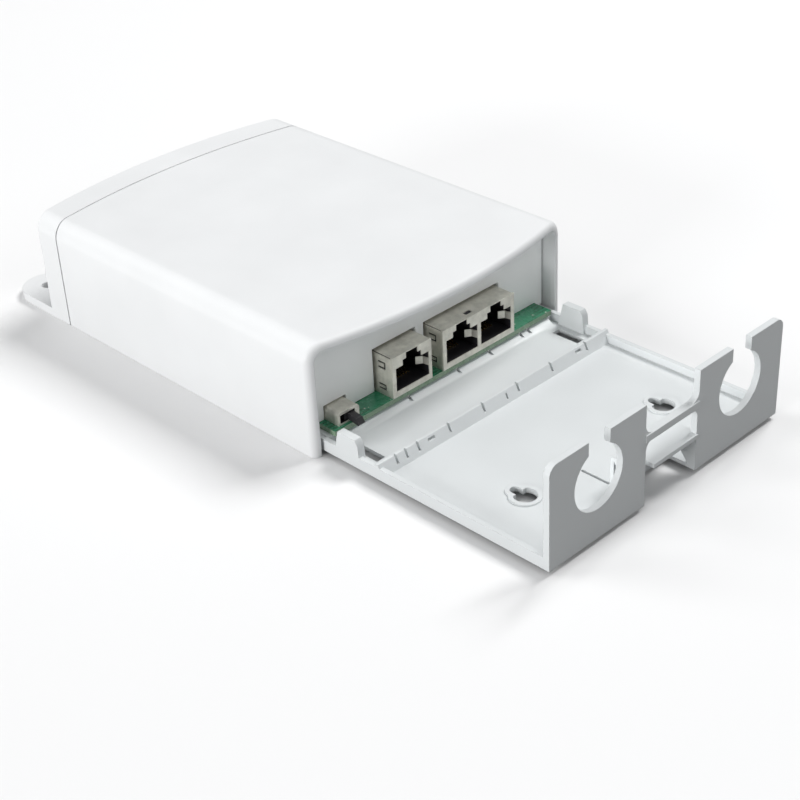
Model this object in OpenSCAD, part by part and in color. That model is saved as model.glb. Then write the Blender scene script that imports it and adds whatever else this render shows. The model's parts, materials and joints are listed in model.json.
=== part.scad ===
// Outdoor Power-over-Ethernet repeater: a sleeve with a sliding cable drawer.
// X runs across the box, +Y from the open front to the wall ears, +Z is up.
// The origin is the centre of the footprint, on the surface that the sleeve stands on.
// Inside the modules, y = 0 is the sleeve's front rim; in_frame() moves it into place.
// The drawer is drawn out: closed, its end wall is flush with the rim.

/* [Housing] */
// Outer width of the sleeve
body_w = 105.2; // [104.6:0.2:107]
// Outer height of the sleeve
body_h = 36; // [36:0.5:39]
// Thickness of the side walls
side_wall = 2.6; // [2.2:0.1:2.6]
// Thickness of the roof
roof_wall = 2.7; // [2.2:0.1:2.7]
// Radius along the two upper edges
roof_edge_r = 5.6; // [4:0.2:7]
// How far the roof bulges forward over the cabling, at the middle
visor_bulge = 6.8; // [4:0.2:8]
// Length from the front rim to the seam with the rear cap, at the sides
sleeve_l = 117; // [114:1:119]
// Length from the front rim to the rear face, at the sides
body_l = 127; // [126:0.5:130]
// Width of the two inward flanges that the drawer runs on
runner_w = 7; // [5:0.5:8]

/* [Wall ears] */
// Radius of an ear's rounded end
ear_r = 8.6; // [8:0.2:9]
// Thickness of an ear
ear_t = 3; // [2.4:0.2:4]
// Diameter of the screw hole in an ear
ear_hole_d = 4.5; // [3.5:0.1:5.5]
// Distance from the front rim to the screw holes
ear_y = 141.4; // [139:0.2:144]

/* [Drawer] */
// How far the drawer is drawn out
drawer_out = 83.6; // [80:0.2:84]
// Outer width of the drawer
drawer_w = 98; // [97:0.5:98.4]
// Length of the drawer behind the front rim
drawer_tail = 40; // [39:0.5:40]
// Thickness of the drawer's floor
floor_t = 1.2; // [1:0.1:1.6]
// Height of the drawer's side walls above its underside
drawer_side_h = 3.7; // [3:0.1:3.8]
// Thickness of the end wall
end_wall_t = 2; // [1.6:0.1:2.4]
// Diameter of the cable holes in the end wall
cable_hole_d = 19; // [17:0.5:19.5]
// Width of the slots above the cable holes
cable_slot_w = 8.4; // [6:0.2:9]
// Distance of the cable holes from the middle
cable_hole_x = 30; // [28:0.5:31]

/* [Ports] */
// Width of the single jack
jack_w = 16; // [15.8:0.1:16.4]
// Width of the two-port jack
dual_w = 31; // [30.6:0.1:31.4]
// Height of the jacks above the board
jack_h = 13.4; // [13.2:0.1:13.8]
// Depth of the jacks
jack_l = 21; // [19:0.5:21]
// Left side of the single jack
single_x = -23.2; // [-24:0.2:-22]
// Left side of the two-port jack
dual_x = -2.4; // [-3:0.2:-1.6]
// Distance between the two ports
port_pitch = 14.8; // [14.6:0.1:14.9]

/* [Board] */
// Width of the circuit board
board_w = 92; // [90:0.5:92]
// Thickness of the circuit board
board_t = 1.6; // [1:0.2:1.6]
// How far the board reaches in front of the rim
board_front = 2.3; // [2:0.1:2.5]
// Depth of the circuit board
board_d = 40.3; // [39:0.1:40.5]

/* [Hidden] */
$fn = 48;
big_fn = 720;
eps = 0.5;

shell_white = "#ebecec";
tray_white = "#e6e8e7";
board_green = "#2f6b4b";
tin_grey = "#b3b2a8";
jack_black = "#232326";
contact_gold = "#c9a24b";
part_black = "#26272a";

// Housing
half_w = body_w / 2;
bay_half_w = half_w - side_wall;
ceiling_z = body_h - roof_wall;
bay_edge_r = 3.4;
seam_bulge = 6;
rear_bulge = 6.6;
seam_gap = 0.4;
runner_t = 1.2;
runner_y = [1, sleeve_l - 1];
cap_wall = 2.5;
cap_floor = runner_t;
spigot_t = 1.6;
spigot_z = 8;
spigot_y = sleeve_l - 6;
fit_gap = 0.05;
ear_x = half_w - ear_r;
ear_root_y = body_l - 3;

// Drawer
tray_half_w = drawer_w / 2;
tray_z = runner_t + 0.3;
floor_z = tray_z + floor_t;
tray_side_z = tray_z + drawer_side_h;
tray_side_t = 1.5;
end_y = -drawer_out;
end_back_y = end_y + end_wall_t;
end_top_z = ceiling_z - 0.3;
end_edge_r = 3;
cable_hole_z = 20.4;
strap_proud = 0.4;
strap_z = [21.6, 23.7];
notch_half_w = 11.3;
notch_r = 3;
recess_half_w = 11;
recess_wall_t = 1.2;
gusset_foot = 0.5;
recess_back_y = end_y + 9.4;
shelf_z = [11.9, 13.2];
shelf_left_x = -7.8;
slit_x = 10.4;
slit_y = [-71, -62.3];
slit_w = 1;
hook_x = 29.7;
hook_y = -58.6;
hook_r = 3.4;
hook_flat_y = -56.5;
hook_slot_w = 3;
hook_slot_y = -54.9;
hook_boss_h = 0.5;
hook_boss_rim = 1.3;
rib_foot_y = -24.2;
rib_top_y = [-22.4, -21.4];
rib_top_z = 6.3;
rib_slits = [-42.4, -38.6, -33.9, -21.5, -7.4, 7.3, 22.2, 38.2];
rib_slit_w = 0.8;
rib_slit_z = 3.9;
rib_windows = [[[-30, -27.4], [4.8, 5.6]], [[2, 2.6], [3.7, 5.4]], [[33.2, 35.8], [4.8, 5.6]]];
ledge_foot_y = -4.4;
ledge_top_y = [-1.7, -0.6];
ledge_drop = 0.9;
ledge_half_w = 45;
ledge_notch_w = 1;
tab_x = [46.5, tray_half_w];
tab_outline = [[-15, tray_z], [-14.5, 8.8], [-13.4, 10.4], [-6.6, 10.4], [-4.5, tray_z]];
tab_slot_x = [41.2, 44.4];
tab_slot_y = [-17, -7];
rail_x = 44.5;

// Board
board_half_w = board_w / 2;
board_z = tray_side_z + 0.2;
board_top = board_z + board_t;
board_y = [-board_front, board_d - board_front];
post_pos = [42, 33];
post_r = 3.2;
screw_r = 1.3;
screw_hole_r = 1.7;
screw_head_r = 2.8;
screw_head_h = 1.7;
screw_cross = [3, 0.7, 2];

// Panel and ports
panel_y = [4.6, 6.6];
panel_half_w = bay_half_w - 0.5;
panel_edge_r = 3.2;
panel_gap = 0.8;
jack_y = -2.5;
sheet = 0.3;
port_floor = 1.8;
port_left = 1.46;
port_w = 13.4;
port_steps = [[port_left, port_w, 9.5], [4.3, 7.5, 11.3], [5.7, 4.7, 13.1]];
port_depth = 15;
port_centre = port_left + port_w / 2;
contact_pitch = 1.02;
contact_w = 0.4;
spring_z = [4.7, 7.2];
spring_in = 2.2;
spring_root = 0.45;
finger_y = [2.75, 5.75];
finger_cut = 0.6;
finger_rows = [[1.7, 3.65], [8.7, 11.1]];
fold_w = 0.42;
vent_x = [11.7, 14.6];
vent_y = [1.6, 3.1];

// Slide switch
can_x = [-43.5, -35.5];
can_y = [-1.2, 6];
can_h = 4.2;
can_gap = 0.3;
can_sheet = 0.25;
can_window_x = [-42.9, -37.2];
can_window_z = [0.5, 3.3];
lever_x = [-39.9, -37.7];
slider_x = [-40.9, -36.7];
lever_outline = [
    [0, 0.85], [-2.6, 0.6], [-5.2, 0.15], [-5.8, 0.8], [-4.7, 2.3], [0, 2.95]
];

// Parts on the board, behind the panel: middle [x, y] and size
transformer_at = [[-15, 26], [2, 26], [19, 26]];
transformer_size = [12.6, 9.4, 6];
switch_chip_at = [-31, 13.5];
switch_chip_size = [9, 9, 1.4];
pse_at = [38.5, 13];
pse_size = [7.4, 10, 2.2];
pd_at = [-15, 35.4];
pd_size = [4, 4.6, 1.5];
buck_at = [-41.2, 11.5];
buck_size = [4, 4.6, 1.5];
bridge_at = [[-4, 35.4], [6, 35.4]];
bridge_size = [6.4, 4.4, 2.4];
cap_at = [[34, 31], [34.5, 22], [-34, 31.5]];
cap_r = 4;
cap_h = 11;
inductor_at = [-40, 21.5];
inductor_size = [8.4, 8.4, 4.6];
inductor_ring_r = [2.9, 3.6];
crystal_at = [-28.5, 23.5];
crystal_half_l = 3.2;
crystal_r = 2;
crystal_h = 3.4;
diode_at = [[15, 35.6], [21.5, 35.6], [43, 22], [43, 26]];
diode_size = [4.4, 2.6, 2.3];
chip_row = [-20:4:24];
ceramic_row_y = 20.1;
ceramic_size = [1.6, 0.8, 0.8];
resistor_row_y = 32.1;
resistor_size = [1.6, 0.8, 0.5];
wide_pitch = 1.27;
small_pitch = 1.1;
fine_pitch = 0.65;
lead_w = 0.3;
lead_t = 0.15;
lead_reach = 1;
pin_h = 1.7;
front_pins = [-16.5, 4, 18, 32, 35.5];
front_pin_r = 0.45;
jack_pin_r = 0.35;
jack_pin_y = [11, 13.5];

// The rectangle of the whole footprint, front strap to ear ends
front_reach = end_y - strap_proud;
rear_reach = ear_y + ear_r;
frame_y = -(front_reach + rear_reach) / 2;

module in_frame() {
    translate([0, frame_y, 0]) children();
}

// A block between two corners
module box(x, y, z) {
    translate([x[0], y[0], z[0]]) cube([x[1] - x[0], y[1] - y[0], z[1] - z[0]]);
}

// A block centred on a spot of the board's upper face
module on_board(at, size, lift = 0) {
    translate([at[0] - size[0] / 2, at[1] - size[1] / 2, board_top + lift]) cube(size);
}

// Extrudes an X-Z outline from y0 to y1
module along_y(y0, y1) {
    translate([0, y1, 0]) rotate([90, 0, 0]) linear_extrude(y1 - y0) children();
}

// Extrudes a Y-Z outline from x0 to x1
module along_x(x0, x1) {
    translate([x0, 0, 0]) rotate([90, 0, 90]) linear_extrude(x1 - x0) children();
}

module both_sides() {
    children();
    mirror([1, 0, 0]) children();
}

// Upright outline with square feet and two rounded upper corners
module arch(half, z0, z1, r) {
    translate([-half, z0]) square([2 * half, z1 - r - z0]);
    translate([r - half, z0]) square([2 * (half - r), z1 - z0]);
    for (side = [-1, 1]) translate([side * (half - r), z1 - r]) circle(r);
}

// Upright cylinder whose arc runs through y_side at the side walls and bulges at the middle
module bulge(y_side, sag, grow = 0) {
    r = (half_w * half_w + sag * sag) / (2 * abs(sag));
    translate([0, y_side + sag - sign(sag) * r, -2]) {
        cylinder(r = r + grow, h = body_h + 4, $fn = big_fn);
    }
}

module housing_sleeve() {
    color(shell_white) in_frame() {
        difference() {
            intersection() {
                along_y(-visor_bulge - 2, body_l) arch(half_w, 0, body_h, roof_edge_r);
                bulge(0, -visor_bulge);
                bulge(sleeve_l, seam_bulge);
            }
            along_y(-visor_bulge - 3, body_l + 1) arch(bay_half_w, -1, ceiling_z, bay_edge_r);
        }
        both_sides() box([bay_half_w - runner_w, bay_half_w + eps], runner_y, [0, runner_t]);
    }
}

// Outline of the space inside the cap: full width low down, narrower inside the spigot
module cap_space() {
    inner = bay_half_w - fit_gap - spigot_t;
    arch(inner, cap_floor, ceiling_z - fit_gap - spigot_t, bay_edge_r - spigot_t);
    translate([-bay_half_w, cap_floor]) square([2 * bay_half_w, spigot_z - cap_floor]);
}

module ear() {
    translate([ear_x, ear_y, 0]) cylinder(r = ear_r, h = ear_t);
    box([ear_x - ear_r, ear_x + ear_r], [ear_root_y, ear_y], [0, ear_t]);
}

module rear_cap() {
    color(shell_white) in_frame() difference() {
        union() {
            difference() {
                intersection() {
                    along_y(spigot_y, body_l + 2 * rear_bulge) arch(half_w, 0, body_h, roof_edge_r);
                    bulge(body_l, rear_bulge);
                }
                bulge(sleeve_l, seam_bulge, seam_gap);
            }
            along_y(spigot_y, body_l - 2) {
                arch(bay_half_w - fit_gap, spigot_z, ceiling_z - fit_gap, bay_edge_r);
            }
            both_sides() ear();
        }
        intersection() {
            along_y(spigot_y - 1, body_l + 2 * rear_bulge) cap_space();
            bulge(body_l, rear_bulge, -cap_wall);
        }
        both_sides() translate([ear_x, ear_y, -1]) cylinder(r = ear_hole_d / 2, h = ear_t + 2);
    }
}

// Cable hole with the slot that a cable drops through
module cable_cutout() {
    translate([cable_hole_x, cable_hole_z]) circle(cable_hole_d / 2, $fn = 96);
    translate([cable_hole_x - cable_slot_w / 2, cable_hole_z]) {
        square([cable_slot_w, end_top_z - cable_hole_z + 1]);
    }
}

module end_wall() {
    along_y(end_y, end_back_y) difference() {
        arch(tray_half_w, tray_z, end_top_z, end_edge_r);
        cable_cutout();
        mirror([1, 0]) cable_cutout();
        // Notch above the strap bar, rounded at the bottom
        translate([0, 2 * end_top_z]) mirror([0, 1]) {
            arch(notch_half_w, end_top_z - 1, 2 * end_top_z - strap_z[1], notch_r);
        }
        // Opening below the strap bar
        arch(recess_half_w, tray_z - 1, strap_z[0], notch_r);
    }
    // Strap bar, a little proud of the wall
    box([-notch_half_w, notch_half_w], [end_y - strap_proud, end_back_y], strap_z);
}

// Finger recess behind the lower opening: two triangular gussets, a back and a shelf
// that leaves a gap at its left end
module finger_recess() {
    outer = recess_half_w + recess_wall_t;
    both_sides() along_x(recess_half_w, outer) polygon([
        [end_y + 1, tray_z], [end_back_y + gusset_foot, tray_z], [end_back_y + gusset_foot, floor_z],
        [recess_back_y, shelf_z[0]], [recess_back_y + 1, shelf_z[1]], [end_y + 1, shelf_z[1]]
    ]);
    box([-outer, outer], [recess_back_y, recess_back_y + recess_wall_t], [tray_z, shelf_z[1]]);
    box([shelf_left_x, outer - 0.1], [end_y, recess_back_y + 1], shelf_z);
    box([shelf_left_x, notch_half_w], [end_y - strap_proud, end_y + 1], shelf_z);
}

// Raised rim round a keyhole for a wall screw
module hook_boss() {
    translate([hook_x, hook_y, floor_z - eps]) {
        cylinder(r = hook_r + hook_boss_rim, h = hook_boss_h + eps);
    }
    translate([hook_x, hook_slot_y, floor_z - eps]) {
        cylinder(r = hook_slot_w / 2 + hook_boss_rim, h = hook_boss_h + eps);
    }
}

module hook_hole() {
    translate([0, 0, tray_z - 1]) linear_extrude(floor_t + hook_boss_h + 2) {
        difference() {
            translate([hook_x, hook_y]) circle(hook_r);
            translate([hook_x - hook_r, hook_flat_y]) square([2 * hook_r, hook_r]);
        }
        translate([hook_x - hook_slot_w / 2, hook_y]) square([hook_slot_w, hook_slot_y - hook_y]);
        translate([hook_x, hook_slot_y]) circle(hook_slot_w / 2);
    }
}

// Slit with round ends along Y in the floor
module floor_slit() {
    translate([0, 0, tray_z - 1]) linear_extrude(floor_t + 2) {
        translate([slit_x - slit_w / 2, slit_y[0]]) square([slit_w, slit_y[1] - slit_y[0]]);
        for (y = slit_y) translate([slit_x, y]) circle(slit_w / 2);
    }
}

// Rib across the floor, sloped towards the end wall
module cross_rib() {
    along_x(-tray_half_w, tray_half_w) polygon([
        [rib_foot_y, floor_z - eps], [rib_foot_y, floor_z], [rib_top_y[0], rib_top_z],
        [rib_top_y[1], rib_top_z], [rib_top_y[1], floor_z - eps]
    ]);
}

// Sloped ledge under the board's front edge, notched for the pin ends
module board_ledge() {
    top_z = board_z - ledge_drop;
    difference() {
        along_x(-ledge_half_w, ledge_half_w) polygon([
            [ledge_foot_y, floor_z - eps], [ledge_foot_y, floor_z], [ledge_top_y[0], top_z],
            [ledge_top_y[1], top_z], [ledge_top_y[1], floor_z - eps]
        ]);
        for (x = front_pins) {
            box([x - ledge_notch_w / 2, x + ledge_notch_w / 2],
                [ledge_foot_y + 1, ledge_top_y[1] + 1], [board_z - pin_h - 0.3, board_z]);
        }
    }
}

// Tab that stops the board from creeping forward
module stop_tab() {
    along_x(tab_x[0], tab_x[1]) polygon(tab_outline);
}

module cable_tray() {
    tail = [end_y, drawer_tail];
    color(tray_white) in_frame() difference() {
        union() {
            box([-tray_half_w, tray_half_w], tail, [tray_z, floor_z]);
            both_sides() {
                box([tray_half_w - tray_side_t, tray_half_w], tail, [tray_z, tray_side_z]);
                box([rail_x, tray_half_w - tray_side_t + 0.1], [-1, board_y[1]], [tray_z, board_z]);
                translate([post_pos[0], post_pos[1], tray_z]) {
                    cylinder(r = post_r, h = board_z - tray_z);
                }
                hook_boss();
                stop_tab();
            }
            box([-tray_half_w, tray_half_w], [drawer_tail - tray_side_t, drawer_tail],
                [tray_z, tray_side_z]);
            end_wall();
            finger_recess();
            cross_rib();
            board_ledge();
        }
        box([-recess_half_w, recess_half_w], [end_y - 1, recess_back_y], [tray_z - 1, floor_z + 0.1]);
        for (x = rib_slits) {
            box([x - rib_slit_w / 2, x + rib_slit_w / 2], [rib_foot_y - 1, rib_top_y[1] + 1],
                [rib_slit_z, rib_top_z + 1]);
        }
        for (window = rib_windows) {
            box(window[0], [rib_foot_y - 1, rib_top_y[1] + 1], window[1]);
        }
        both_sides() {
            floor_slit();
            hook_hole();
            box(tab_slot_x, tab_slot_y, [tray_z - 1, floor_z + 1]);
            translate([post_pos[0], post_pos[1], floor_z]) cylinder(r = screw_r, h = board_z);
        }
    }
}

module port_panel() {
    color(tray_white) in_frame() difference() {
        union() {
            along_y(panel_y[0], panel_y[1]) {
                arch(panel_half_w, board_top + 0.1, end_top_z, panel_edge_r);
            }
            both_sides() box([board_half_w + 0.3, panel_half_w], panel_y, [board_z, board_top + 1]);
        }
        for (jack = [[single_x, jack_w], [dual_x, dual_w]]) {
            box([jack[0] - panel_gap, jack[0] + jack[1] + panel_gap],
                [panel_y[0] - 1, panel_y[1] + 1], [0, board_top + jack_h + panel_gap]);
        }
        box([can_x[0] - can_gap, can_x[1] + can_gap], [panel_y[0] - 1, panel_y[1] + 1],
            [0, board_top + can_h + can_gap]);
    }
}

module circuit_board() {
    color(board_green) in_frame() difference() {
        box([-board_half_w, board_half_w], board_y, [board_z, board_top]);
        both_sides() translate([post_pos[0], post_pos[1], 0]) {
            cylinder(r = screw_hole_r, h = board_top + 1);
        }
    }
}

module board_screw() {
    translate([post_pos[0], post_pos[1], 0]) {
        translate([0, 0, floor_z + 0.2]) cylinder(r = screw_r, h = board_top - floor_z);
        difference() {
            translate([0, 0, board_top]) cylinder(r = screw_head_r, h = screw_head_h);
            for (turn = [0, 90]) {
                translate([0, 0, board_top + screw_head_h]) rotate(turn) {
                    cube(screw_cross, center = true);
                }
            }
        }
    }
}

module board_screws() {
    color("silver") in_frame() both_sides() board_screw();
}

// Outline of one port, with the stepped relief for the plug's latch
module port_outline() {
    for (step = port_steps) {
        translate([step[0], port_floor]) square([step[1], step[2] - port_floor]);
    }
}

// U-shaped cut that frees a spring finger in a shield's side wall
module finger_slot(z) {
    x = [-1, sheet + 0.02];
    box(x, [finger_y[0], finger_y[1]], [z[0], z[0] + finger_cut]);
    box(x, [finger_y[0], finger_y[1]], [z[1] - finger_cut, z[1]]);
    box(x, [finger_y[0], finger_y[0] + finger_cut], z);
}

// Grounding spring at a port's right-hand edge: it runs back along the wall, then bends inwards
module ground_spring() {
    edge = port_left + port_w;
    leaf = 0.2;
    bend = [edge - spring_root, 2.2];
    tip = [edge - spring_in, 3.4];
    translate([0, 0, spring_z[0]]) linear_extrude(spring_z[1] - spring_z[0]) polygon([
        [edge + 0.3, 0], [edge - 0.05, 0], bend, tip, [tip[0], tip[1] + leaf],
        [bend[0] + leaf, bend[1] + leaf], [edge + 0.1, sheet], [edge + 0.3, sheet]
    ]);
}

module jack_shield(x0, w, ports) {
    translate([x0, jack_y, board_top]) {
        difference() {
            cube([w, jack_l, jack_h]);
            translate([sheet, sheet, -1]) {
                cube([w - 2 * sheet, jack_l - 2 * sheet, jack_h - sheet + 1]);
            }
            for (port = [0:ports - 1]) {
                translate([port * port_pitch, 0, 0]) along_y(-1, sheet + 0.1) port_outline();
            }
            for (z = finger_rows) {
                finger_slot(z);
                translate([w, 0, 0]) mirror([1, 0, 0]) finger_slot(z);
            }
            // Open seams where the roof of the shield was folded down
            for (x = [0, w]) {
                box([x - fold_w, x + fold_w], [0.6, jack_l - 0.6], [jack_h - fold_w, jack_h + 1]);
            }
            if (ports > 1) box(vent_x, vent_y, [jack_h - sheet - 0.02, jack_h + 1]);
        }
        for (port = [0:ports - 1]) {
            translate([port * port_pitch, 0, 0]) {
                ground_spring();
                translate([2 * port_centre, 0, 0]) mirror([1, 0, 0]) ground_spring();
            }
        }
    }
}

module jack_insert(x0, w, ports) {
    skin = sheet + fit_gap;
    translate([x0, jack_y, board_top]) difference() {
        translate([skin, skin, 0]) cube([w - 2 * skin, jack_l - 2 * skin, jack_h - skin]);
        for (port = [0:ports - 1]) {
            translate([port * port_pitch, 0, 0]) along_y(-1, port_depth) {
                port_outline();
                // Side pockets that the grounding springs bend into
                translate([port_left - 0.45, spring_z[0] - 0.2]) {
                    square([port_w + 0.9, spring_z[1] - spring_z[0] + 0.4]);
                }
            }
        }
    }
}

// Eight spring wires rising from the floor of a port towards its back
module port_contacts() {
    wire = 0.35;
    rise = 2.4;
    back = 13.2;
    for (i = [0:7]) {
        x = port_centre + (i - 3.5) * contact_pitch;
        along_x(x - contact_w / 2, x + contact_w / 2) polygon([
            [5.5, port_floor], [5.5, port_floor + wire], [7.2, port_floor + wire],
            [back - 0.8, port_floor + rise], [back, port_floor + rise],
            [back, port_floor + rise - wire], [back - 0.7, port_floor + rise - wire],
            [7.3, port_floor]
        ]);
    }
}

module jack_contacts(x0, ports) {
    translate([x0, jack_y, board_top]) {
        for (port = [0:ports - 1]) translate([port * port_pitch, 0, 0]) port_contacts();
    }
}

module single_jack_shield() {
    color(tin_grey) in_frame() jack_shield(single_x, jack_w, 1);
}

module single_jack_insert() {
    color(jack_black) in_frame() jack_insert(single_x, jack_w, 1);
}

module single_jack_contacts() {
    color(contact_gold) in_frame() jack_contacts(single_x, 1);
}

module dual_jack_shield() {
    color(tin_grey) in_frame() jack_shield(dual_x, dual_w, 2);
}

module dual_jack_insert() {
    color(jack_black) in_frame() jack_insert(dual_x, dual_w, 2);
}

module dual_jack_contacts() {
    color(contact_gold) in_frame() jack_contacts(dual_x, 2);
}

// Folded can over the slide switch, with a window for the lever
module switch_shell() {
    mid = (can_x[0] + can_x[1]) / 2;
    half = (can_x[1] - can_x[0]) / 2;
    edge = 1.3;
    color(tin_grey) in_frame() translate([0, 0, board_top]) difference() {
        translate([mid, 0, 0]) along_y(can_y[0], can_y[1]) arch(half, 0, can_h, edge);
        translate([mid, 0, 0]) along_y(can_y[0] + can_sheet, can_y[1] - can_sheet) {
            arch(half - can_sheet, -1, can_h - can_sheet, edge - can_sheet);
        }
        box(can_window_x, [can_y[0] - 1, can_y[0] + 1], can_window_z);
    }
}

// Insulating base with the block that carries the fixed contacts
module switch_base() {
    x = [can_x[0] + can_sheet + fit_gap, can_x[1] - can_sheet - fit_gap];
    y = [can_y[0] + can_sheet + fit_gap, can_y[1] - can_sheet - fit_gap];
    color(jack_black) in_frame() translate([0, 0, board_top]) {
        box(x, y, [0, 0.45]);
        box(x, [2.5, y[1]], [0, 3]);
    }
}

module switch_terminals() {
    color(tin_grey) in_frame() for (i = [-1:1]) {
        translate([(can_x[0] + can_x[1]) / 2 + 2 * i - 0.3, 3.6, board_z - 1.5]) {
            cube([0.6, 0.4, 1.5]);
        }
    }
}

// Slider inside the can and the lever that sticks out of its window
module switch_lever() {
    color(part_black) in_frame() translate([0, 0, board_top]) {
        box(slider_x, [can_y[0] + 0.5, 2.2], [0.7, 3.6]);
        along_x(lever_x[0], lever_x[1]) polygon(lever_outline);
    }
}

module chip_body(at, size) {
    lift = 0.12;
    on_board(at, [size[0], size[1], size[2] - lift], lift);
}

module lan_transformers() {
    color(part_black) in_frame() for (at = transformer_at) difference() {
        chip_body(at, transformer_size);
        // Pin-one dimple
        translate([at[0] - 5, at[1] - 3.4, board_top + transformer_size[2] - 0.3]) {
            cylinder(r = 0.6, h = 1);
        }
    }
}

module switch_chip() {
    color(part_black) in_frame() chip_body(switch_chip_at, switch_chip_size);
}

module pse_controller() {
    color(part_black) in_frame() chip_body(pse_at, pse_size);
}

module pd_controller() {
    color(part_black) in_frame() chip_body(pd_at, pd_size);
}

module buck_regulator() {
    color(part_black) in_frame() chip_body(buck_at, buck_size);
}

// Row of gull-wing leads along the +X side of a chip
module lead_row(half_x, count, pitch, chip_h) {
    root_z = chip_h * 0.45;
    for (i = [0:count - 1]) {
        translate([half_x, (i - (count - 1) / 2) * pitch + lead_w / 2, board_top]) {
            rotate([90, 0, 0]) linear_extrude(lead_w) polygon([
                [0, root_z], [0, root_z + lead_t], [0.45, root_z + lead_t], [0.6, lead_t],
                [lead_reach, lead_t], [lead_reach, 0], [0.45, 0], [0.3, root_z]
            ]);
        }
    }
}

module chip_leads() {
    color("silver") in_frame() {
        for (turn = [0:90:270]) {
            translate(switch_chip_at) rotate(turn) {
                lead_row(switch_chip_size[0] / 2, 12, fine_pitch, switch_chip_size[2]);
            }
        }
        for (turn = [0, 180]) {
            translate(pse_at) rotate(turn) lead_row(pse_size[0] / 2, 7, wide_pitch, pse_size[2]);
            translate(pd_at) rotate(turn) lead_row(pd_size[0] / 2, 4, small_pitch, pd_size[2]);
            translate(buck_at) rotate(turn) {
                lead_row(buck_size[0] / 2, 4, small_pitch, buck_size[2]);
            }
        }
    }
}

module crystal() {
    color("silver") in_frame() translate([crystal_at[0], crystal_at[1], board_top]) {
        both_sides() translate([crystal_half_l, 0, 0]) cylinder(r = crystal_r, h = crystal_h);
        box([-crystal_half_l, crystal_half_l], [-crystal_r, crystal_r], [0, crystal_h]);
    }
}

module bridge_rectifiers() {
    color(part_black) in_frame() for (at = bridge_at) on_board(at, bridge_size);
}

// Upright can with a rolled groove near its foot
module electrolytic_caps() {
    color("#3a3f52") in_frame() for (at = cap_at) {
        translate([at[0], at[1], board_top]) rotate_extrude() polygon([
            [0, 0], [cap_r, 0], [cap_r, 1.2], [cap_r - 0.35, 1.6], [cap_r, 2],
            [cap_r, cap_h - 0.3], [cap_r - 0.3, cap_h], [0, cap_h]
        ]);
    }
}

// Shielded drum inductor
module power_inductor() {
    groove_z = board_top + inductor_size[2] - 0.4;
    color("#4a4a4c") in_frame() difference() {
        on_board(inductor_at, inductor_size);
        translate([inductor_at[0], inductor_at[1], groove_z]) difference() {
            cylinder(r = inductor_ring_r[1], h = 1);
            translate([0, 0, -1]) cylinder(r = inductor_ring_r[0], h = 3);
        }
    }
}

module surge_diodes() {
    color(part_black) in_frame() for (at = diode_at) on_board(at, diode_size);
}

module ceramic_caps() {
    color("#b89a72") in_frame() {
        for (x = chip_row) on_board([x, ceramic_row_y], ceramic_size);
    }
}

module chip_resistors() {
    color("#2b2b2e") in_frame() for (x = chip_row) {
        on_board([x, resistor_row_y], resistor_size);
    }
}

// Cut ends of the through-hole pins below the board
module solder_pins() {
    color(tin_grey) in_frame() {
        for (x = front_pins) {
            translate([x, -1.2, board_z - pin_h]) cylinder(r = front_pin_r, h = pin_h);
        }
        for (x0 = [single_x, dual_x, dual_x + port_pitch], i = [0:7]) {
            x = x0 + port_centre + (i - 3.5) * contact_pitch;
            translate([x, jack_pin_y[i % 2], board_z - pin_h]) {
                cylinder(r = jack_pin_r, h = pin_h);
            }
        }
    }
}

housing_sleeve();
rear_cap();
cable_tray();
port_panel();
circuit_board();
board_screws();
single_jack_shield();
single_jack_insert();
single_jack_contacts();
dual_jack_shield();
dual_jack_insert();
dual_jack_contacts();
switch_shell();
switch_base();
switch_terminals();
switch_lever();
lan_transformers();
switch_chip();
pse_controller();
pd_controller();
chip_leads();
crystal();
bridge_rectifiers();
electrolytic_caps();
power_inductor();
buck_regulator();
surge_diodes();
ceramic_caps();
chip_resistors();
solder_pins();
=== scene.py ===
"""Looks for the outdoor PoE repeater box with its cable drawer drawn out."""
import json
import math

import bmesh
import bpy
from mathutils import Matrix, Vector

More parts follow.
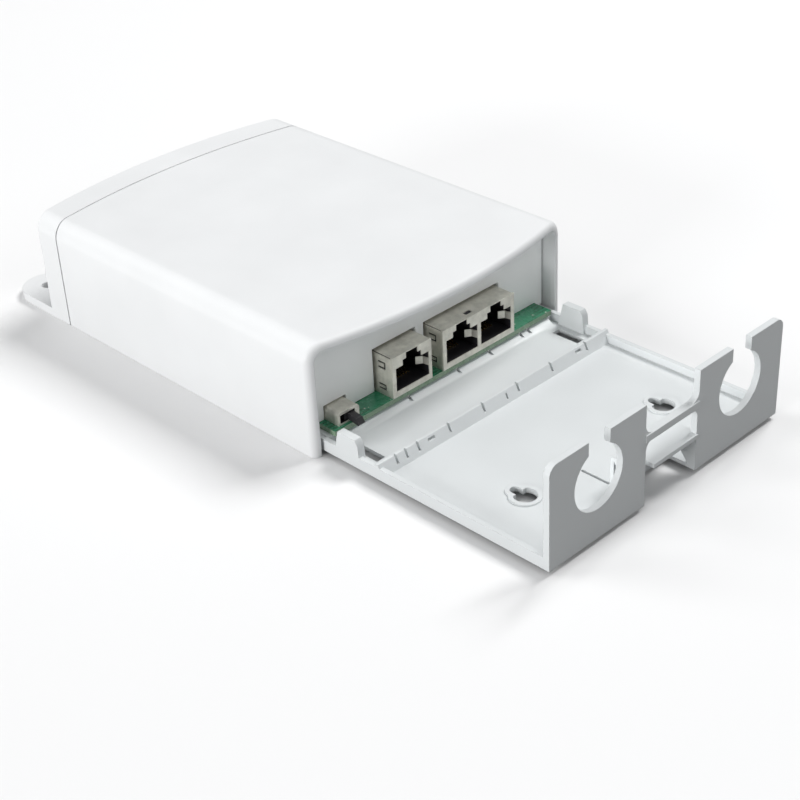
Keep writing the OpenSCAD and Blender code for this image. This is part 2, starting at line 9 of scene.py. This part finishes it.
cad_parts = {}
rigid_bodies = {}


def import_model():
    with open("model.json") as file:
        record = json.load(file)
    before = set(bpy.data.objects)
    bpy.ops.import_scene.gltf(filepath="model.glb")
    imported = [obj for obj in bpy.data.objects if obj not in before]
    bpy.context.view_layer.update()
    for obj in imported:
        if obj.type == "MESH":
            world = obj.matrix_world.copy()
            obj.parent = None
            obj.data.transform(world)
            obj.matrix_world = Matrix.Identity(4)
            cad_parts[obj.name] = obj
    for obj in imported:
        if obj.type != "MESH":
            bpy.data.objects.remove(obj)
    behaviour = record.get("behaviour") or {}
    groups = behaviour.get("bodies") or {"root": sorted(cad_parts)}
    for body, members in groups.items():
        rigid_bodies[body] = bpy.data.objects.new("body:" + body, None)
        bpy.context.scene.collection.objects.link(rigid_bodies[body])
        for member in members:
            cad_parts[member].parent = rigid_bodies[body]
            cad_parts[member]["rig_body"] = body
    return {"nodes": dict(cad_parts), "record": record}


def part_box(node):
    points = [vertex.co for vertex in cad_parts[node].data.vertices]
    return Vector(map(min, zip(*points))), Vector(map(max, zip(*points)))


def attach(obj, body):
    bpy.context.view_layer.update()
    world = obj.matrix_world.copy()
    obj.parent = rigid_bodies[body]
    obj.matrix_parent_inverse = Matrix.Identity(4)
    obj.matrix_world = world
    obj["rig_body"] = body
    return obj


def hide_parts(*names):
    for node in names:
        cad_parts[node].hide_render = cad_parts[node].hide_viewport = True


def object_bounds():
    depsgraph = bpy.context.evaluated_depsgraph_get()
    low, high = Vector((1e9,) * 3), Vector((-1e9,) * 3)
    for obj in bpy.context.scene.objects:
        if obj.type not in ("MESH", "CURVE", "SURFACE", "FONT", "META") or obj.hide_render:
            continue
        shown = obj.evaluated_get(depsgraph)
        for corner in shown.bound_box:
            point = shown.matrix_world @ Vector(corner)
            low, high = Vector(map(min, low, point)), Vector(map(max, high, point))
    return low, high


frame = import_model()
CAD_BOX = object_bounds()
NODES = frame["nodes"]
MM = 0.001


# ---------------------------------------------------------------- shader helpers

class Shader:
    """A node material with its Principled shader and object-space coordinates, in metres."""

    def __init__(self, name, color, roughness, metallic=0.0, **sockets):
        self.material = bpy.data.materials.new(name)
        self.material.use_nodes = True
        self.tree = self.material.node_tree
        self.bsdf = self.tree.nodes["Principled BSDF"]
        self.bsdf.inputs["Base Color"].default_value = (*color, 1)
        self.bsdf.inputs["Roughness"].default_value = roughness
        self.bsdf.inputs["Metallic"].default_value = metallic
        for socket, value in sockets.items():
            self.bsdf.inputs[socket.replace("_", " ")].default_value = value
        self.coords = self.tree.nodes.new("ShaderNodeTexCoord").outputs["Object"]
        self.normal = None

    def node(self, kind, **settings):
        made = self.tree.nodes.new(kind)
        for key, value in settings.items():
            setattr(made, key, value)
        return made

    def link(self, source, target):
        self.tree.links.new(source, target)

    def facing(self):
        """The X, Y and Z parts of the direction that the surface faces."""
        parts = self.node("ShaderNodeSeparateXYZ")
        geometry = self.node("ShaderNodeNewGeometry")
        self.link(geometry.outputs["True Normal"], parts.inputs["Vector"])
        return parts.outputs

    def stretched(self, scale):
        """Object coordinates multiplied by a vector, for brushed or drawn grain."""
        mapping = self.node("ShaderNodeMapping")
        mapping.inputs["Scale"].default_value = scale
        self.link(self.coords, mapping.inputs["Vector"])
        return mapping.outputs["Vector"]

    def noise(self, size, detail=2.0, roughness=0.5, coords=None):
        """Noise from 0 to 1 whose blotches are about size metres across."""
        made = self.node("ShaderNodeTexNoise")
        made.inputs["Scale"].default_value = 1 / size
        made.inputs["Detail"].default_value = detail
        made.inputs["Roughness"].default_value = roughness
        self.link(coords or self.coords, made.inputs["Vector"])
        return made.outputs["Fac"]

    def spread(self, value, low, high, from_low=0.3, from_high=0.7):
        """Maps a value onto low..high. Most of a noise lies between 0.3 and 0.7."""
        made = self.node("ShaderNodeMapRange")
        made.inputs["From Min"].default_value = from_low
        made.inputs["From Max"].default_value = from_high
        made.inputs["To Min"].default_value = low
        made.inputs["To Max"].default_value = high
        self.link(value, made.inputs["Value"])
        return made.outputs["Result"]

    def blend(self, value, low, high):
        """Mixes two colours, or outputs, by a value from 0 to 1."""
        made = self.node("ShaderNodeMix", data_type="RGBA")
        self.link(value, made.inputs["Factor"])
        for socket, color in ((made.inputs[6], low), (made.inputs[7], high)):
            if isinstance(color, bpy.types.NodeSocket):
                self.link(color, socket)
            else:
                socket.default_value = (*color, 1)
        return made.outputs[2]

    def color(self, output):
        self.link(output, self.bsdf.inputs["Base Color"])

    def roughness(self, output):
        self.link(output, self.bsdf.inputs["Roughness"])

    def metallic(self, output):
        self.link(output, self.bsdf.inputs["Metallic"])

    def soft_edges(self, radius):
        """Rounds the shading over sharp edges by a small radius."""
        made = self.node("ShaderNodeBevel", samples=4)
        made.inputs["Radius"].default_value = radius
        self.normal = made.outputs["Normal"]
        self.link(self.normal, self.bsdf.inputs["Normal"])

    def bump(self, height, depth, strength=1.0):
        """Adds relief of about depth metres."""
        made = self.node("ShaderNodeBump")
        made.inputs["Distance"].default_value = depth
        made.inputs["Strength"].default_value = strength
        self.link(height, made.inputs["Height"])
        if self.normal:
            self.link(self.normal, made.inputs["Normal"])
        self.normal = made.outputs["Normal"]
        self.link(self.normal, self.bsdf.inputs["Normal"])


def tint(color, factor):
    return tuple(c * factor for c in color)


def moulded_plastic(name, color, roughness, grain, edge, gloss=0.5):
    """Injection-moulded ABS: fine spark-eroded grain, faint flow marks and uneven gloss."""
    flow_mark, dull_patch, grit = 28 * MM, 9 * MM, 0.16 * MM
    s = Shader(name, color, roughness, IOR=1.53, Specular_IOR_Level=gloss)
    flow = s.noise(flow_mark, detail=3)
    s.color(s.blend(s.spread(flow, 0, 1), tint(color, 0.975), tint(color, 1.015)))
    s.roughness(s.spread(s.noise(dull_patch, detail=4), roughness - 0.05, roughness + 0.07))
    s.soft_edges(edge)
    s.bump(s.noise(grit, detail=3, roughness=0.6), grain)
    return s.material


def sheet_metal(name, color, roughness, along, edge=0.12 * MM, metallic=1.0):
    """Tinned or plated sheet: rolling grain along one axis, smudges and a few dull patches."""
    grain_width, smudge_size, grain_depth = 0.25 * MM, 3.2 * MM, 0.004 * MM
    s = Shader(name, color, roughness, metallic=metallic)
    grain = s.noise(grain_width, detail=4, coords=s.stretched(along))
    smudge = s.noise(smudge_size, detail=5, roughness=0.6)
    s.color(s.blend(s.spread(smudge, 0, 1, 0.35, 0.7), tint(color, 0.82), tint(color, 1.08)))
    s.roughness(s.spread(smudge, roughness + 0.12, roughness - 0.05, 0.3, 0.65))
    s.soft_edges(edge)
    s.bump(grain, grain_depth, 0.6)
    return s.material


def epoxy(name, color, roughness):
    """Transfer-moulded chip package: matt with a very fine grit."""
    mottle, dull_patch, edge = 1.5 * MM, 0.8 * MM, 0.08 * MM
    grit, grit_depth = 0.07 * MM, 0.006 * MM
    s = Shader(name, color, roughness)
    shade = s.spread(s.noise(mottle, detail=4), 0, 1)
    s.color(s.blend(shade, tint(color, 0.8), tint(color, 1.3)))
    s.roughness(s.spread(s.noise(dull_patch), roughness - 0.06, roughness + 0.08))
    s.soft_edges(edge)
    s.bump(s.noise(grit, detail=2), grit_depth)
    return s.material


def solder_mask_board(name):
    """Green solder mask over copper tracks, plated vias, and a pale fibreglass edge."""
    mask, copper_mask = (0.022, 0.15, 0.075), (0.036, 0.245, 0.13)
    fibreglass, tin = (0.2, 0.3, 0.2), (0.72, 0.7, 0.62)
    track_size, track_relief, pour_size = 9 * MM, 0.02 * MM, 7 * MM
    via_pitch, fibre_size, sheen_patch = 2.6 * MM, 0.3 * MM, 2 * MM
    s = Shader(name, mask, 0.28, IOR=1.5, Coat_Weight=0.35, Coat_Roughness=0.12)
    tracks = s.node("ShaderNodeTexBrick", offset=0.37)
    for socket, value in (("Scale", 1 / track_size), ("Mortar Size", 0.035),
                          ("Brick Width", 0.9), ("Row Height", 0.16)):
        tracks.inputs[socket].default_value = value
    s.link(s.coords, tracks.inputs["Vector"])
    pours = s.spread(s.noise(pour_size, detail=0), 0, 1, 0.5, 0.52)
    green = s.blend(tracks.outputs["Fac"], mask, copper_mask)
    green = s.blend(pours, green, copper_mask)
    vias = s.node("ShaderNodeTexVoronoi")
    vias.inputs["Scale"].default_value = 1 / via_pitch
    vias.inputs["Randomness"].default_value = 0.9
    s.link(s.coords, vias.inputs["Vector"])
    via = s.spread(vias.outputs["Distance"], 1, 0, 0.1, 0.12)
    green = s.blend(via, green, tin)
    # The board's faces are green, and its sawn rim is bare
    upright = s.node("ShaderNodeMath", operation="ABSOLUTE")
    s.link(s.facing()["Z"], upright.inputs[0])
    fibres = s.noise(fibre_size, detail=3, coords=s.stretched((1, 1, 6)))
    rim = s.blend(s.spread(fibres, 0, 1), tint(fibreglass, 0.8), tint(fibreglass, 1.15))
    s.color(s.blend(s.spread(upright.outputs["Value"], 0, 1, 0.4, 0.6), rim, green))
    s.roughness(s.spread(s.noise(sheen_patch, detail=3), 0.22, 0.36))
    s.bump(tracks.outputs["Fac"], track_relief, 0.5)
    return s.material


def shrink_sleeve(name):
    """Glossy capacitor sleeve with a bare aluminium top."""
    dark, bare = (0.02, 0.025, 0.05), (0.75, 0.75, 0.76)
    sheen_patch, dimple, dimple_depth = 1.2 * MM, 0.4 * MM, 0.01 * MM
    s = Shader(name, dark, 0.3)
    top = s.spread(s.facing()["Z"], 0, 1, 0.85, 0.95)
    s.color(s.blend(top, dark, bare))
    s.metallic(top)
    s.roughness(s.spread(s.noise(sheen_patch, detail=3), 0.22, 0.4))
    s.bump(s.noise(dimple), dimple_depth, 0.4)
    return s.material


# Each moulded plastic: colour, roughness, depth of its grain, rounding of its edges
# Each sheet metal: colour, roughness, stretch of its grain, rounding of its edges
MATERIALS = {
    "shell_plastic": moulded_plastic(
        "shell_plastic", (0.78, 0.79, 0.795), 0.5, 0.006 * MM, 0.35 * MM, gloss=0.25),
    "tray_plastic": moulded_plastic(
        "tray_plastic", (0.69, 0.715, 0.72), 0.42, 0.005 * MM, 0.25 * MM),
    # The port panel's plastic is paler than the rest: painted light, standing in for light that the
    # visor keeps off it
    "panel_plastic_painted_light": moulded_plastic(
        "panel_plastic_painted_light", (0.94, 0.955, 0.945), 0.45, 0.005 * MM, 0.25 * MM),
    "board_green": solder_mask_board("board_green"),
    "tinned_steel": sheet_metal(
        "tinned_steel", (0.76, 0.74, 0.66), 0.42, (1, 0.06, 1), metallic=0.6),
    "zinc_screw": sheet_metal("zinc_screw", (0.66, 0.67, 0.7), 0.3, (1, 1, 1)),
    "bright_tin": sheet_metal("bright_tin", (0.74, 0.74, 0.72), 0.25, (1, 1, 0.2)),
    "gold_contact": sheet_metal(
        "gold_contact", (0.85, 0.6, 0.22), 0.22, (1, 0.2, 1), 0.03 * MM),
    "black_plastic": moulded_plastic(
        "black_plastic", (0.018, 0.017, 0.02), 0.42, 0.004 * MM, 0.12 * MM),
    "chip_black": epoxy("chip_black", (0.03, 0.03, 0.032), 0.55),
    "capacitor_sleeve": shrink_sleeve("capacitor_sleeve"),
    "ceramic_tan": epoxy("ceramic_tan", (0.45, 0.33, 0.2), 0.45),
    "ferrite_grey": epoxy("ferrite_grey", (0.07, 0.07, 0.075), 0.6),
}
SLOT_OF = {part["node"]: part["material_slot"] for part in frame["record"]["subparts"]}


def paint(obj, slot):
    obj.data.materials.clear()
    obj.data.materials.append(MATERIALS[slot])


for node_name, node_object in NODES.items():
    paint(node_object, SLOT_OF[node_name])


# ---------------------------------------------------------------- moulded shells, rounded edges

SMOOTH_BELOW = math.radians(34)     # an edge that turns less is shaded as one surface
ROUND_ABOVE = math.radians(35)      # an edge that turns more is rounded
FLAT_BELOW = math.radians(0.4)      # faces that turn less are one face
SAME_POINT = 0.001 * MM

# The sleeve's sizes, as in part.scad
SIDE_WALL, ROOF_WALL = 2.6 * MM, 2.7 * MM
OUTER_CORNER, INNER_CORNER = 5.6 * MM, 3.4 * MM
VISOR_BULGE, SEAM_BULGE = 6.8 * MM, 6 * MM
RUNNER_WIDTH, RUNNER_THICK, RUNNER_INSET = 7 * MM, 1.2 * MM, 1 * MM
# Its roundings
MOUTH_OUTER, MOUTH_INNER, RUNNER_EDGE = 1.7 * MM, 0.45 * MM, 0.3 * MM
MOUTH_OUTER_STEPS, MOUTH_INNER_STEPS = 8, 4


def turn_of(edge):
    """Angle between an edge's two faces."""
    return abs(edge.calc_face_angle_signed(0.0)) if len(edge.link_faces) == 2 else 0.0


def finish_piece(name, bm, body, material, *nodes):
    """Makes an object of a bmesh that stands for CAD nodes, smooth apart from its sharp edges."""
    for face in bm.faces:
        face.smooth = True
    for edge in bm.edges:
        edge.smooth = turn_of(edge) < SMOOTH_BELOW
    made = bpy.data.meshes.new(name)
    bm.to_mesh(made)
    bm.free()
    piece = bpy.data.objects.new(name, made)
    bpy.context.collection.objects.link(piece)
    weigh = piece.modifiers.new("weighted_normals", "WEIGHTED_NORMAL")
    weigh.keep_sharp = True
    paint(piece, material)
    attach(piece, body)
    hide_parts(*nodes)


def moulded(name, node, radius, material):
    """Puts a copy of a CAD node with rounded edges in its place."""
    source = NODES[node]
    bm = bmesh.new()
    bm.from_mesh(source.data)
    bmesh.ops.remove_doubles(bm, verts=bm.verts, dist=SAME_POINT)
    bmesh.ops.dissolve_limit(bm, angle_limit=FLAT_BELOW, verts=bm.verts, edges=bm.edges)
    edges = [e for e in bm.edges if turn_of(e) > ROUND_ABOVE]
    bmesh.ops.bevel(bm, geom=edges, offset=radius, segments=2, profile=0.5,
                    affect="EDGES", clamp_overlap=True, loop_slide=True)
    finish_piece(name, bm, source["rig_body"], material, node)


def quarter_turn(steps):
    """Angles from 0 to a right angle."""
    return [math.pi / 2 * i / steps for i in range(steps + 1)]


def arch_outline(half, top, radius, corner_steps=14, roof_steps=64):
    """Points (x, z) up the left wall, round the corner, across the roof and down again."""
    left = [(-half, 0.0)]
    for a in quarter_turn(corner_steps):
        left.append((radius - half - radius * math.cos(a), top - radius + radius * math.sin(a)))
    reach = half - radius
    roof = [(-reach + 2 * reach * i / roof_steps, top) for i in range(1, roof_steps)]
    return left + roof + [(-x, z) for x, z in reversed(left)]


def add_runner(bm, sign, start, end, half):
    """The flange along one side wall's foot that carries the drawer."""
    overlap = 0.1 * MM
    middle = Vector((sign * (half - SIDE_WALL + overlap - RUNNER_WIDTH / 2),
                     (start + end) / 2, RUNNER_THICK / 2))
    size = Vector((RUNNER_WIDTH + 2 * overlap, end - start, RUNNER_THICK))
    corners = bmesh.ops.create_cube(bm, size=1)["verts"]
    for v in corners:
        v.co = v.co * size + middle
    edges = list({e for v in corners for e in v.link_edges})
    bmesh.ops.bevel(bm, geom=edges, offset=RUNNER_EDGE, segments=2, profile=0.5, affect="EDGES")


def rounded_sleeve():
    """The sleeve swept as one skin: its mouth has a full outer and a small inner rounding."""
    low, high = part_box("housing_sleeve")
    half, top = high.x, high.z
    rim_y, seam_y = low.y + VISOR_BULGE, high.y - SEAM_BULGE    # at the side walls
    outer = arch_outline(half, top, OUTER_CORNER)
    inner = arch_outline(half - SIDE_WALL, top - ROOF_WALL, INNER_CORNER)

    def bow(x, rise):
        """Height at x of an arc over the sleeve's width."""
        radius = (half * half + rise * rise) / (2 * rise)
        return math.sqrt(radius * radius - x * x) - (radius - rise)

    def front(back):
        """The bulged front edge, moved back."""
        return lambda x: rim_y - bow(x, VISOR_BULGE) + back

    def rear(x):
        return seam_y + bow(x, SEAM_BULGE)

    def ring(depth, y_of):
        """One ring of points, depth below the outer skin."""
        made = []
        for (x0, z0), (x1, z1) in zip(outer, inner):
            on_side = z1 < top - ROOF_WALL - INNER_CORNER
            part = depth / (SIDE_WALL if on_side else ROOF_WALL)
            x, z = x0 + (x1 - x0) * part, z0 + (z1 - z0) * part
            made.append((x, y_of(x), z))
        return made

    rings = [ring(0, rear)]
    for a in quarter_turn(MOUTH_OUTER_STEPS):
        back = MOUTH_OUTER * (1 - math.sin(a))
        rings.append(ring(MOUTH_OUTER * (1 - math.cos(a)), front(back)))
    for a in quarter_turn(MOUTH_INNER_STEPS):
        back = MOUTH_INNER * (1 - math.cos(a))
        rings.append(ring(ROOF_WALL - MOUTH_INNER * (1 - math.sin(a)), front(back)))
    rings.append(ring(ROOF_WALL, rear))
    bm = bmesh.new()
    rows = [[bm.verts.new(p) for p in points] for points in rings]
    rows.append(rows[0])
    for one, two in zip(rows, rows[1:]):
        for k in range(len(one) - 1):
            bm.faces.new((one[k], one[k + 1], two[k + 1], two[k]))
    for end in (0, -1):
        bm.faces.new([row[end] for row in rows[:-1]])
    bmesh.ops.recalc_face_normals(bm, faces=bm.faces)
    for sign in (-1, 1):
        add_runner(bm, sign, rim_y + RUNNER_INSET, seam_y - RUNNER_INSET, half)
    finish_piece("rounded_sleeve", bm, "housing", "shell_plastic", "housing_sleeve")


def make_shells():
    rounded_sleeve()
    moulded("rounded_cap", "rear_cap", 0.35 * MM, "shell_plastic")
    moulded("rounded_tray", "cable_tray", 0.22 * MM, "tray_plastic")
    moulded("rounded_panel", "port_panel", 0.15 * MM, "panel_plastic_painted_light")


make_shells()


# ---------------------------------------------------------------- stage

FLOOR_HALF, FLOOR_GAP = 0.75, 0.02 * MM
PAPER_LIGHT, PAPER_SEEN = (0.27, 0.27, 0.27), (0.86, 0.86, 0.86)
LAMP_DISTANCE = 2.0
LAMPS = (   # name, direction from the object, side in metres, watts
    ("key", (0.6, -0.06, 0.8), 0.8, 33),
    ("left_fill", (-1.0, 0.0, 0.12), 0.9, 39),
    ("front_fill", (0.1, -1.0, 0.75), 1.0, 5.5),
    ("back_fill", (-0.53, 0.62, 0.58), 1.0, 12),
)
SKY_COLOR, SKY_LIGHT, SKY_SEEN = (0.95, 0.97, 1.0), 0.17, 1.05
# Fitted to the straight edges in the photograph
CAMERA_AZIMUTH, CAMERA_ELEVATION, CAMERA_ROLL = (math.radians(a) for a in (43.2, 32.0, 3.1))
CAMERA_DISTANCE, CAMERA_LENS, CAMERA_SENSOR = 0.4583, 75.06, 36
CAMERA_AIM = Vector((-34.3, -49.9, 0)) * MM     # from the middle of the object
MIDDLE = (CAD_BOX[0] + CAD_BOX[1]) / 2


def make_floor():
    """A pale sheet. It looks white, but throws back only part of the light, as if small."""
    z = CAD_BOX[0].z - FLOOR_GAP
    mesh = bpy.data.meshes.new("floor")
    corners = [(x * FLOOR_HALF, y * FLOOR_HALF, z) for x, y in ((-1, -1), (1, -1), (1, 1), (-1, 1))]
    mesh.from_pydata(corners, [], [(0, 1, 2, 3)])
    floor = bpy.data.objects.new("floor", mesh)
    bpy.context.collection.objects.link(floor)
    s = Shader("floor_paper", (1, 1, 1), 0.9, Specular_IOR_Level=0.0)
    s.roughness(s.spread(s.noise(0.2), 0.85, 0.95))
    seen = s.node("ShaderNodeLightPath").outputs["Is Camera Ray"]
    s.color(s.blend(seen, PAPER_LIGHT, PAPER_SEEN))
    floor.data.materials.append(s.material)


def area_light(name, direction, size, power):
    """A square soft light that shines on the middle of the object from a direction."""
    away = Vector(direction).normalized()
    data = bpy.data.lights.new(name, "AREA")
    data.shape = "SQUARE"
    data.size = size
    data.energy = power
    lamp = bpy.data.objects.new(name, data)
    lamp.location = MIDDLE + away * LAMP_DISTANCE
    lamp.rotation_euler = (-away).to_track_quat("-Z", "Y").to_euler()
    bpy.context.collection.objects.link(lamp)


def make_lights():
    """Four soft lamps, and a white backdrop that lights the object only weakly."""
    for lamp in LAMPS:
        area_light(*lamp)
    world = bpy.data.worlds.new("studio")
    world.use_nodes = True
    tree = world.node_tree
    background = tree.nodes["Background"]
    background.inputs["Color"].default_value = (*SKY_COLOR, 1)
    level = tree.nodes.new("ShaderNodeMapRange")
    level.inputs["To Min"].default_value = SKY_LIGHT
    level.inputs["To Max"].default_value = SKY_SEEN
    seen = tree.nodes.new("ShaderNodeLightPath").outputs["Is Camera Ray"]
    tree.links.new(seen, level.inputs["Value"])
    tree.links.new(level.outputs["Result"], background.inputs["Strength"])
    bpy.context.scene.world = world
    bpy.context.scene.view_settings.view_transform = "Standard"


def make_camera():
    """Looks down at the open drawer from its front left corner."""
    level = math.cos(CAMERA_ELEVATION)
    look = Vector((math.sin(CAMERA_AZIMUTH) * level, math.cos(CAMERA_AZIMUTH) * level,
                   -math.sin(CAMERA_ELEVATION)))
    data = bpy.data.cameras.new("camera")
    data.lens = CAMERA_LENS
    data.sensor_width = CAMERA_SENSOR
    camera = bpy.data.objects.new("camera", data)
    turn = look.to_track_quat("-Z", "Y").to_matrix() @ Matrix.Rotation(-CAMERA_ROLL, 3, "Z")
    place = MIDDLE + CAMERA_AIM - look * CAMERA_DISTANCE
    camera.matrix_world = Matrix.Translation(place) @ turn.to_4x4()
    bpy.context.collection.objects.link(camera)
    bpy.context.scene.camera = camera


make_floor()
make_lights()
make_camera()
